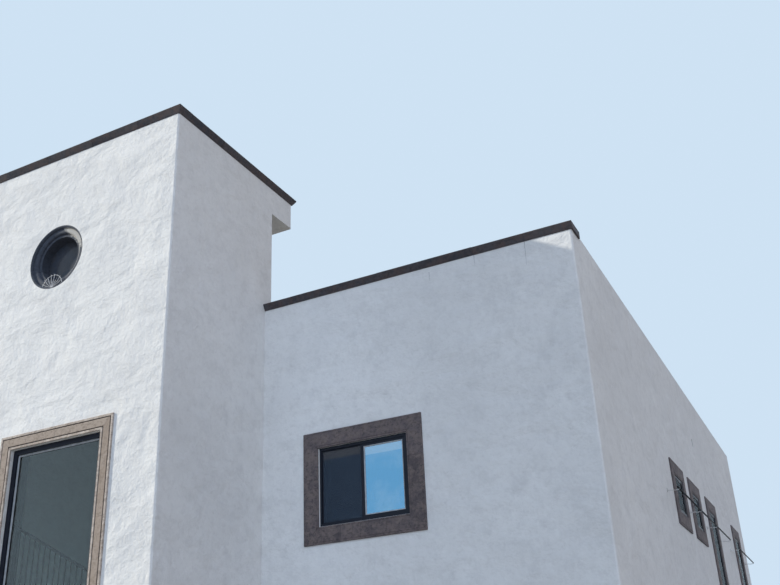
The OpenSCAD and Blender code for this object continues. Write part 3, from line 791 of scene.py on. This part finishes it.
def tube(piece, points, radius, sides=8, material=0):
    """A round bar through points, with its ends capped."""
    points = [Vector(p) for p in points]
    rings = []
    for i, point in enumerate(points):
        ahead = points[min(i + 1, len(points) - 1)] - points[max(i - 1, 0)]
        ahead.normalize()
        across = ahead.cross(UP if abs(ahead.z) < 0.9 else Vector((1, 0, 0))).normalized()
        over = across.cross(ahead)
        rings.append([
            point + (across * math.cos(a) + over * math.sin(a)) * radius for a in turn(sides)
        ])
    piece.sweep(rings, material)


def arc(centre, radius, start, end, steps=12):
    """Points in a u, v plane from one angle in degrees to another."""
    return [
        (centre[0] + radius * math.cos(a), centre[1] + radius * math.sin(a))
        for a in (math.radians(start + (end - start) * i / steps) for i in range(steps + 1))
    ]


def oculus_fan():
    """Small half-round wire guard that stands on the sill of the oculus."""
    piece = Piece("oculus_wire_fan", GALVANISED)
    place = on_wall("front", OCULUS["x"] - 0.03, Y_TOWER, OCULUS["z"] - 0.535)
    w = -0.012

    def bent(points):
        return [place @ Vector((u, v, w)) for u, v in points]

    tube(piece, bent(arc((0, 0), 0.215, 12, 168)), 0.0055)
    for degrees in range(27, 160, 18):
        tip = arc((0, 0), 0.235, degrees, degrees, 1)[0]
        tube(piece, bent([(0, 0), (tip[0] * 0.62, tip[1] * 0.50), tip]), 0.0045)
    piece.finish("black_iron")


oculus_fan()


# Glazing -------------------------------------------------------------------------------------

# Profiles on a pane, from its edge inwards
BEAD = [(-0.016, 0.004), (0.0, 0.004), (0.0, 0.018), (-0.005, 0.018), (-0.016, 0.008)]
FLUSH_BEAD = [(-0.014, 0.004), (0.0, 0.004), (0.0, 0.0115), (-0.003, 0.0115), (-0.014, 0.006)]
TALL_SEAL = [(-0.028, 0.004), (0.0, 0.004), (0.0, 0.016), (-0.024, 0.016), (-0.028, 0.012)]


def bead_ring(piece, place, w, h, material=0, profile=BEAD):
    """Glazing beads on the outer face of a pane whose middle is at w = 0."""
    for side in frame_sides(w, h):
        run(piece, place, side, profile, gap=0.0, chamfer=0.0, material=material)


def shifted(side, x, y, z, u, v, w):
    """A wall's axes with their origin moved along the wall."""
    return on_wall(side, x, y, z) @ Matrix.Translation((u, v, w))


def fixed_beads(piece, side, x, y, z, opening):
    """Beads of a side window, on its one fixed pane."""
    place = shifted(side, x, y, z, 0, FRAME_W, SIDE_PANE_W)
    bead_ring(piece, place, opening["w"] - 2 * FRAME_W, opening["h"] - 2 * FRAME_W,
              profile=FLUSH_BEAD)


def sash_spots(side, x, y, z):
    """Places of the two sash panes of a slider, and the pane's size."""
    inner = SLIDER["w"] - 2 * FRAME_W
    full = (inner + SASH_LAP) / 2
    pane_w, pane_h = full - 2 * SASH_W, SLIDER["h"] - 2 * FRAME_W - 2 * SASH_W
    spots = [
        shifted(side, x, y, z, sign * (inner - full) / 2, FRAME_W + SASH_W, PANE_W + depth)
        for sign, depth in ((-1, -0.017), (1, 0.017))
    ]
    return spots, pane_w, pane_h


beads = Piece("glazing_beads", BLACK_ALUMINIUM, SEAL)
for z in STOREYS:
    for y in RIGHT_SMALL_Y:
        fixed_beads(beads, "right", X_RIGHT, y, z + SMALL["sill"], SMALL)
    for y in RIGHT_LONG_Y:
        fixed_beads(beads, "right", X_RIGHT, y, z + LONG["sill"], LONG)
    for y in LEFT_SMALL_Y:
        fixed_beads(beads, "left", X_LEFT, y, z + SMALL["sill"], SMALL)
    for x in BACK_X:
        spots, pane_w, pane_h = sash_spots("back", x, Y_BACK, z + SLIDER["sill"])
        for spot in spots:
            bead_ring(beads, spot, pane_w, pane_h)
bar_low, bar_high = (z - TALL["sill"] for z in TALL_BAR)
for low_v, high_v in ((TALL["frame"], bar_low), (bar_high, TALL["h"] - TALL["frame"])):
    spot = shifted("front", TALL["x"], Y_TOWER, TALL["sill"], 0, low_v, TALL["pane"])
    bead_ring(beads, spot, TALL["w"] - 2 * TALL["frame"], high_v - low_v, 1, TALL_SEAL)
front_sashes, pane_w, pane_h = sash_spots("front", *front_window_spot)
for spot in front_sashes:
    bead_ring(beads, spot, pane_w, pane_h, 1)
beads.finish("black_aluminium")

sealant = Piece("front_window_sealant", PALE_COAT)
for side in frame_sides(SLIDER["w"], SLIDER["h"])[::3]:
    run(sealant, shifted("front", *front_window_spot, 0, 0, -0.015), side,
        [(-0.011, 0.0), (-0.008, 0.0025), (-0.002, 0.009), (0.0, 0.010), (0.0, 0.0)],
        gap=0.0, chamfer=0.0)
sealant.finish("black_aluminium")


def pane(piece, place, w, h, thick=0.008, material=0):
    """A sheet of glass with ground edges, its middle at w = 0."""
    side = strip((-w / 2, 0), (w / 2, 0))
    half = thick / 2
    profile = [(0.0, -half), (0.0, half - 0.001), (0.001, half), (h - 0.001, half),
               (h, half - 0.001), (h, -half)]
    run(piece, place, side, profile, gap=0.0, chamfer=0.001, material=material)


panes = Piece("front_window_panes", CLEAR_GLASS, SKY_REFLECTION_GLASS)
pane(panes, front_sashes[0], pane_w, pane_h)
# The second pane carries the painted sky reflection
pane(panes, front_sashes[1], pane_w, pane_h, material=1)
panes.finish("pane", "front_window_glass")


def insect_screen():
    """Dark screen in the outer track, in front of the left sash."""
    piece = Piece("front_window_screen", BLACK_ALUMINIUM, SCREEN)
    width = (SLIDER["w"] - 2 * FRAME_W) / 2 - SASH_LAP / 2
    height = SLIDER["h"] - 2 * FRAME_W
    place = shifted("front", *front_window_spot, -(SLIDER["w"] / 2 - FRAME_W) + width / 2,
                    FRAME_W, -0.040)
    bar = 0.018
    profile = [(0.0, -0.006), (0.0, 0.004), (0.003, 0.006), (0.015, 0.006), (bar, 0.004),
               (bar, -0.006)]
    for side in frame_sides(width - 2 * bar, height - 2 * bar):
        run(piece, place @ Matrix.Translation((0, bar, 0)), side, profile, gap=0.0, chamfer=0.0)
    pane(piece, place @ Matrix.Translation((0, 0.014, 0)), width - 0.028, height - 0.028,
         0.0015, 1)
    piece.finish("black_aluminium")


insect_screen()


# Rods on the right side ----------------------------------------------------------------------

ROD_X, ROD_Z, ROD_R = X_RIGHT + 0.195, 4.86, 0.014
# Profile of the disc behind an arm: (distance from the wall, radius)
DISC = [(0.0, 0.040), (0.006, 0.040), (0.008, 0.036), (0.014, 0.014), (0.014, 0.0005)]


def hooked_arm(piece, y):
    """Bracket arm that leaves its wall disc, dips and curls up under the rod."""
    bend = [(X_RIGHT + 0.012, ROD_Z - 0.02), (X_RIGHT + 0.09, ROD_Z - 0.026),
            (X_RIGHT + 0.15, ROD_Z - 0.036)]
    curl = arc((ROD_X - 0.013, ROD_Z - 0.012), 0.0205, 215, 350, 10)
    tube(piece, [(x, y, z) for x, z in bend + curl], 0.0062, material=1)


def wall_rod(name, node, arm_ys):
    """Round rod with domed ends, and hooked arms from discs on the wall."""
    low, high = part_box(node)
    piece = Piece(name, BLACK_IRON, PALE_COAT)
    ends = [(low.y, 0.3), (low.y + 0.004, 0.8), (low.y + 0.012, 1.0),
            (high.y - 0.012, 1.0), (high.y - 0.004, 0.8), (high.y, 0.3)]
    piece.sweep([
        [Vector((ROD_X + ROD_R * share * math.cos(a), y, ROD_Z + ROD_R * share * math.sin(a)))
         for a in turn(20)]
        for y, share in ends
    ])
    for y in arm_ys:
        hooked_arm(piece, y)
        piece.sweep([
            [Vector((X_RIGHT + x, y + r * math.cos(a), ROD_Z - 0.01 + r * math.sin(a)))
             for a in turn(24)]
            for x, r in DISC
        ], 1)
    piece.finish("black_iron", node)


wall_rod("near_rod", "near_wall_rod", (-1.855, 0.3125, 2.1925, 4.081))
wall_rod("far_rod", "far_wall_rod", (5.515, 8.115))


# Doors ---------------------------------------------------------------------------------------


def stud(piece, place, u, v, w):
    """Domed iron nail head."""
    piece.sweep([
        [place @ Vector((u + r * math.cos(a), v + r * math.sin(a), w + lift)) for a in turn(10)]
        for r, lift in ((0.011, 0.0), (0.010, 0.003), (0.006, 0.006), (0.001, 0.007))
    ], 1)


def plank_door(name, node, side, spot, size, planks, hinge):
    """Upright planks with V joints behind three studded rails, a lever and a lock plate.

    hinge is 1 for a leaf hung on the right, seen from outside, and -1 for the left."""
    piece = Piece(name, DOOR_WOOD, BLACK_IRON)
    place = shifted(side, *spot, 0, 0, PANE_W)
    half, leaf_w, leaf_h = 0.0225, size["w"] - 2 * FRAME_W, size["h"] - FRAME_W
    plank = leaf_w / planks
    reach = plank / 2 - 0.0008
    for i in range(planks):
        left = -leaf_w / 2 + i * plank
        middle = strip((left + plank / 2, 0), (left + plank / 2, leaf_h), (1, 0))
        run(piece, place, middle, [
            (-reach, -half + 0.005), (-reach + 0.004, -half), (reach - 0.004, -half),
            (reach, -half + 0.005), (reach, half - 0.010), (reach - 0.004, half - 0.006),
            (-reach + 0.004, half - 0.006), (-reach, half - 0.010),
        ], gap=0.0, chamfer=0.0)
    for v in (0.10, leaf_h * 0.47, leaf_h - 0.22):
        rail = strip((-leaf_w / 2 + 0.004, v), (leaf_w / 2 - 0.004, v))
        run(piece, place, rail, [(0.0, half - 0.006), (0.004, half), (0.126, half),
                                 (0.13, half - 0.006)], gap=0.0, chamfer=0.003)
        for i in range(planks):
            u = -leaf_w / 2 + (i + 0.5) * plank
            stud(piece, place, u, v + 0.065, half)
    lock_u = -hinge * (leaf_w / 2 - 0.07)
    plate = strip((lock_u - 0.022, 0.93), (lock_u + 0.022, 0.93))
    run(piece, place, plate, [(0.0, half), (0.002, half + 0.004), (0.228, half + 0.004),
                              (0.23, half)], gap=0.0, chamfer=0.002, material=1)
    lever = [
        (lock_u, 1.06, half), (lock_u, 1.06, half + 0.045),
        (lock_u + hinge * 0.012, 1.06, half + 0.055), (lock_u + hinge * 0.12, 1.058, half + 0.055),
    ]
    tube(piece, [place @ Vector(p) for p in lever], 0.009, 12, 1)
    piece.finish("door_wood", node)


plank_door("entrance_leaf", "entrance_door", "front", (FRONT_X, Y_FRONT, STOREYS[0]),
           ENTRANCE, planks=6, hinge=1)
roof_low, roof_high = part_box("roof_door_frame")
plank_door("roof_door_leaf", "roof_door", "back",
           ((roof_low.x + roof_high.x) / 2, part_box("tower_back_wall")[1].y, roof_low.z),
           ROOF_DOOR, planks=5, hinge=-1)


# Camera --------------------------------------------------------------------------------------

# The photo's camera, solved from its straight edges, with less vertical shift
camera_data = bpy.data.cameras.new("camera")
camera_data.sensor_width = 36
camera_data.lens = 41.982
camera_data.shift_y = 0.05
camera = put("camera", camera_data)
camera.location = (7.68, -17.813, 1.311)
camera.rotation_euler = [math.radians(a) for a in (113.516, 2.387, 27.176)]
bpy.context.scene.camera = camera


# Light and stage -----------------------------------------------------------------------------

FLOOR_RADIUS = 400


def lamp(name, energy, angle, colour, direction):
    """A sun lamp; angle is the width of its disc in degrees."""
    data = bpy.data.lights.new(name, "SUN")
    data.energy, data.angle, data.color = energy, math.radians(angle), colour
    light = put(name, data)
    light.rotation_euler = Vector(direction).to_track_quat("-Z", "Y").to_euler()


# The sun from the left, and the soft light of the sky on the front, the right and the back
lamp("sun", 3.50, 0.6, (1.0, 0.95, 0.83), (1, 0.42, -0.5605))
lamp("soft_front", 1.68, 80, (0.60, 0.76, 1.0), (-0.30, 1, -0.40))
lamp("soft_right", 0.70, 90, (0.92, 0.90, 1.0), (-1, 0.1, -0.35))
lamp("soft_back", 0.45, 80, (0.89, 0.93, 1.0), (-0.3, -1, -0.5))


def shown(tree):
    """1 where the camera, a reflection or a look through glass meets the surface."""
    seen = tree.nodes.new("ShaderNodeLightPath")
    value = seen.outputs["Is Camera Ray"]
    for ray in ("Is Glossy Ray", "Is Transmission Ray"):
        both = tree.nodes.new("ShaderNodeMath")
        both.operation = "MAXIMUM"
        tree.links.new(value, both.inputs[0])
        tree.links.new(seen.outputs[ray], both.inputs[1])
        value = both.outputs[0]
    return value


# The surfaces get a weak even fill from the world, and the pale backdrop is only seen
world = bpy.data.worlds.new("world")
bpy.context.scene.world = world
world.use_nodes = True
tree = world.node_tree
fill, backdrop = tree.nodes["Background"], tree.nodes.new("ShaderNodeBackground")
fill.inputs["Color"].default_value = (0.96, 0.96, 1.0, 1)
fill.inputs["Strength"].default_value = 0.065
backdrop.inputs["Color"].default_value = (0.62, 0.76, 0.90, 1)
backdrop.inputs["Strength"].default_value = 1.0
choose = tree.nodes.new("ShaderNodeMixShader")
tree.links.new(shown(tree), choose.inputs[0])
tree.links.new(fill.outputs[0], choose.inputs[1])
tree.links.new(backdrop.outputs[0], choose.inputs[2])
tree.links.new(choose.outputs[0], tree.nodes["World Output"].inputs["Surface"])

# The floor is pale where it is seen and darker for the light that it throws on the walls
floor_finish = Finish("floor", 0.95)
floor_grain = floor_finish.noise(0.25, 4.0)
floor_finish.done(floor_finish.mix(
    shown(floor_finish.tree), (0.34, 0.34, 0.34),
    floor_finish.ramp(floor_grain, (0.3, (0.65, 0.66, 0.67)), (0.7, (0.67, 0.68, 0.69))),
))
floor_mesh = bmesh.new()
bmesh.ops.create_circle(floor_mesh, cap_ends=True, segments=96, radius=FLOOR_RADIUS)
floor_data = bpy.data.meshes.new("floor")
floor_mesh.to_mesh(floor_data)
floor_mesh.free()
floor_data.materials.append(floor_finish.material)
floor = put("floor", floor_data)

bpy.context.scene.view_settings.view_transform = "Standard"
